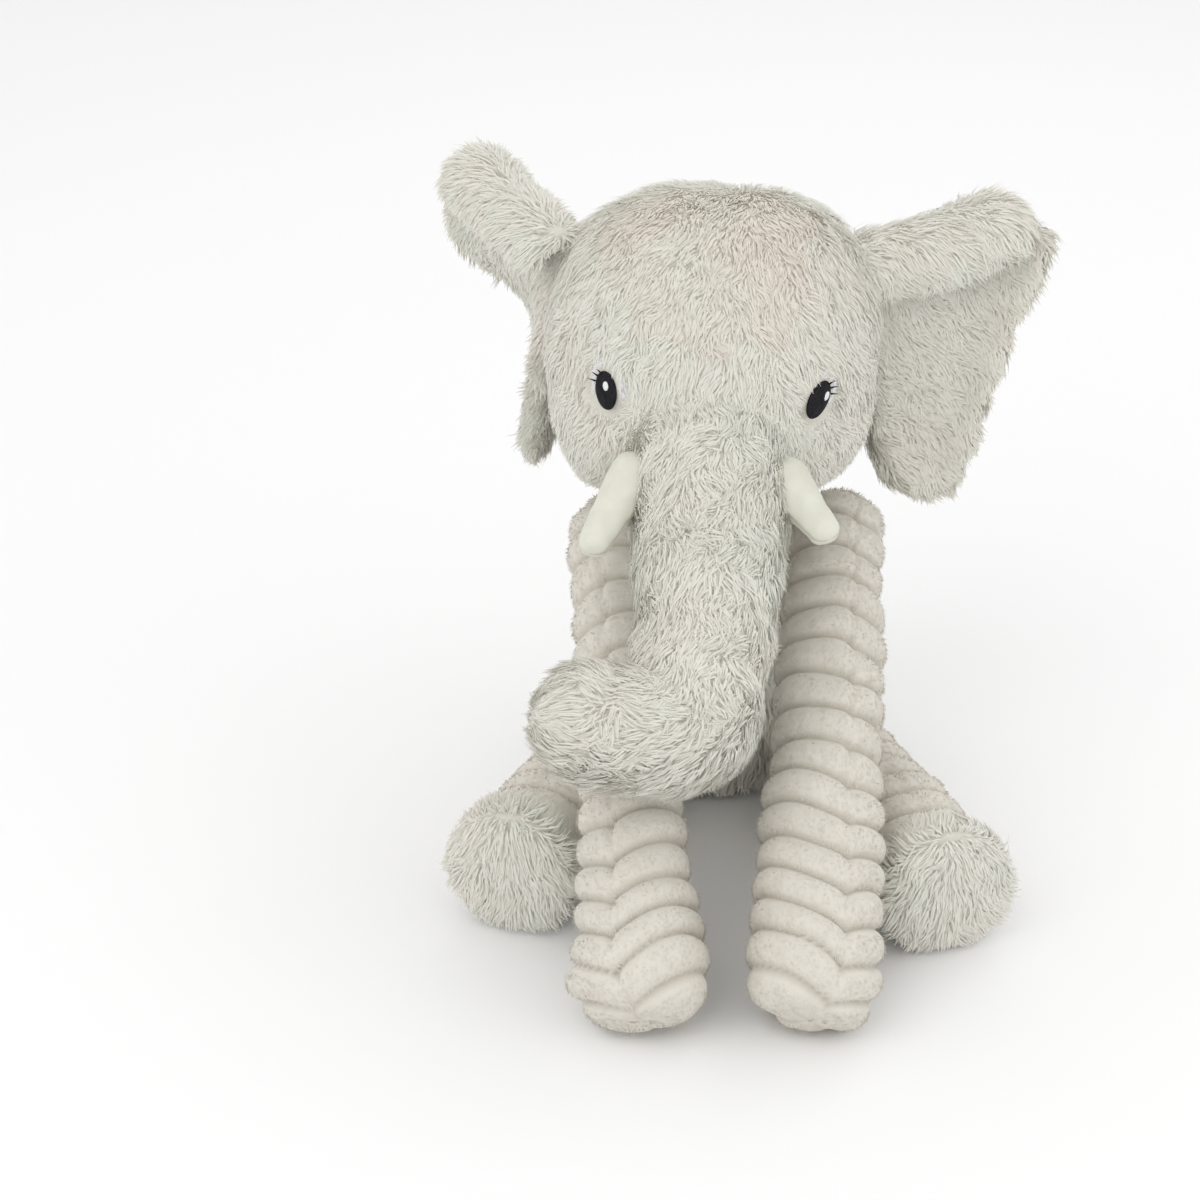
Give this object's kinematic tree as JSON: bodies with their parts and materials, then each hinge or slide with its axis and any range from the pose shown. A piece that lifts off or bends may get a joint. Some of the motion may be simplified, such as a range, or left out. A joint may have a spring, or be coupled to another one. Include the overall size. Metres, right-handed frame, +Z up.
{
  "type": "stuffed elephant",
  "caption": "Seated plush elephant with long fur, floppy ears, a curled trunk, felt tusks and ribbed arms and legs that flop on the floor.",
  "frame": {"origin": "centre of the flat seat face under the body, on the surface the toy sits on", "axes": "+Z up, -Y the way the face looks, +X to the toy's own left-hand side"},
  "size_m": [0.225, 0.294, 0.252],
  "materials": {
    "long_fur": "matte",
    "short_fur": "matte",
    "ribbed_plush": "matte",
    "smooth_plush": "matte",
    "black_thread": "matte",
    "white_thread": "matte",
    "pale_felt": "matte",
    "fibre_filling": "matte",
    "bag_cloth": "matte"
  },
  "bodies": {
    "head": {"head_gusset": "long_fur", "head_side_left": "long_fur", "head_side_right": "long_fur", "head_filling": "fibre_filling", "trunk_collar": "long_fur", "eye_pupil_right": "black_thread", "eye_patch_right": "pale_felt", "eye_highlight_right": "white_thread", "eye_lashes_right": "black_thread", "eye_pupil_left": "black_thread", "eye_patch_left": "pale_felt", "eye_highlight_left": "white_thread", "eye_lashes_left": "black_thread", "tusk_cover_right": "smooth_plush", "tusk_filling_right": "fibre_filling", "tusk_cover_left": "smooth_plush", "tusk_filling_left": "fibre_filling"},
    "neck": {"neck_cover": "long_fur", "neck_filling": "fibre_filling"},
    "body": {"body_front_panel": "long_fur", "body_back_panel": "long_fur", "pellet_bag": "bag_cloth", "body_filling": "fibre_filling"},
    "trunk_middle": {"trunk_middle_cover": "long_fur", "trunk_middle_filling": "fibre_filling"},
    "trunk_lower": {"trunk_lower_cover": "long_fur", "trunk_lower_filling": "fibre_filling"},
    "ear_right": {"ear_front_right": "short_fur", "ear_back_right": "long_fur", "ear_wadding_right": "fibre_filling"},
    "ear_left": {"ear_front_left": "short_fur", "ear_back_left": "long_fur", "ear_wadding_left": "fibre_filling"},
    "arm_right": {"arm_right_inner_panel": "ribbed_plush", "arm_right_outer_panel": "ribbed_plush", "arm_filling_right": "fibre_filling"},
    "arm_left": {"arm_left_inner_panel": "ribbed_plush", "arm_left_outer_panel": "ribbed_plush", "arm_filling_left": "fibre_filling"},
    "leg_right": {"leg_cover_right": "ribbed_plush", "foot_sole_right": "long_fur", "leg_filling_right": "fibre_filling"},
    "leg_left": {"leg_cover_left": "ribbed_plush", "foot_sole_left": "long_fur", "leg_filling_left": "fibre_filling"},
    "tail": {"tail_cover": "ribbed_plush", "tail_tuft": "long_fur"}
  },
  "joints": [
    {"name": "head_turn", "type": "hinge", "parent": "body", "child": "neck", "pos_m": [0, -0.014, 0.127], "axis": [0, 0, 1], "range_deg": [-30, 30]},
    {"name": "head_nod", "type": "hinge", "parent": "neck", "child": "head", "pos_m": [0, -0.014, 0.127], "axis": [1, 0, 0], "range_deg": [-25, 5]},
    {"name": "trunk_lift", "type": "hinge", "parent": "head", "child": "trunk_middle", "pos_m": [-0.008, -0.092, 0.146], "axis": [-1, 0, 0], "range_deg": [-8, 28], "stiffness_Nm_per_rad": 0.12, "springref_deg": 6.88},
    {"name": "trunk_sway", "type": "hinge", "parent": "trunk_middle", "child": "trunk_lower", "pos_m": [-0.01, -0.124, 0.121], "axis": [0, 0.5956, -0.8033], "range_deg": [-20, 20], "stiffness_Nm_per_rad": 0.06},
    {"name": "ear_right_flap", "type": "hinge", "parent": "head", "child": "ear_right", "pos_m": [-0.0725, -0.022, 0.188], "axis": [0, 0, -1], "range_deg": [-75, 5], "stiffness_Nm_per_rad": 0.02},
    {"name": "ear_left_flap", "type": "hinge", "parent": "head", "child": "ear_left", "pos_m": [0.0585, -0.022, 0.188], "axis": [0, 0, 1], "range_deg": [-23, 57], "stiffness_Nm_per_rad": 0.02},
    {"name": "arm_right_raise", "type": "hinge", "parent": "body", "child": "arm_right", "pos_m": [-0.04, -0.028, 0.112], "axis": [-0.5156, 0.4151, -0.7496], "range_deg": [-2, 30]},
    {"name": "arm_left_lower", "type": "hinge", "parent": "body", "child": "arm_left", "pos_m": [0.042, -0.028, 0.113], "axis": [0.8635, 0.1866, -0.4687], "range_deg": [-36, 4]},
    {"name": "leg_right_spread", "type": "hinge", "parent": "body", "child": "leg_right", "pos_m": [-0.042, -0.032, 0.024], "axis": [0, 0, -1], "range_deg": [-2, 30]},
    {"name": "leg_left_spread", "type": "hinge", "parent": "body", "child": "leg_left", "pos_m": [0.042, -0.032, 0.024], "axis": [0, 0, 1], "range_deg": [-2, 30]},
    {"name": "tail_wag", "type": "hinge", "parent": "body", "child": "tail", "pos_m": [0, 0.041, 0.029], "axis": [0, 0, 1], "range_deg": [-25, 25]}
  ]
}
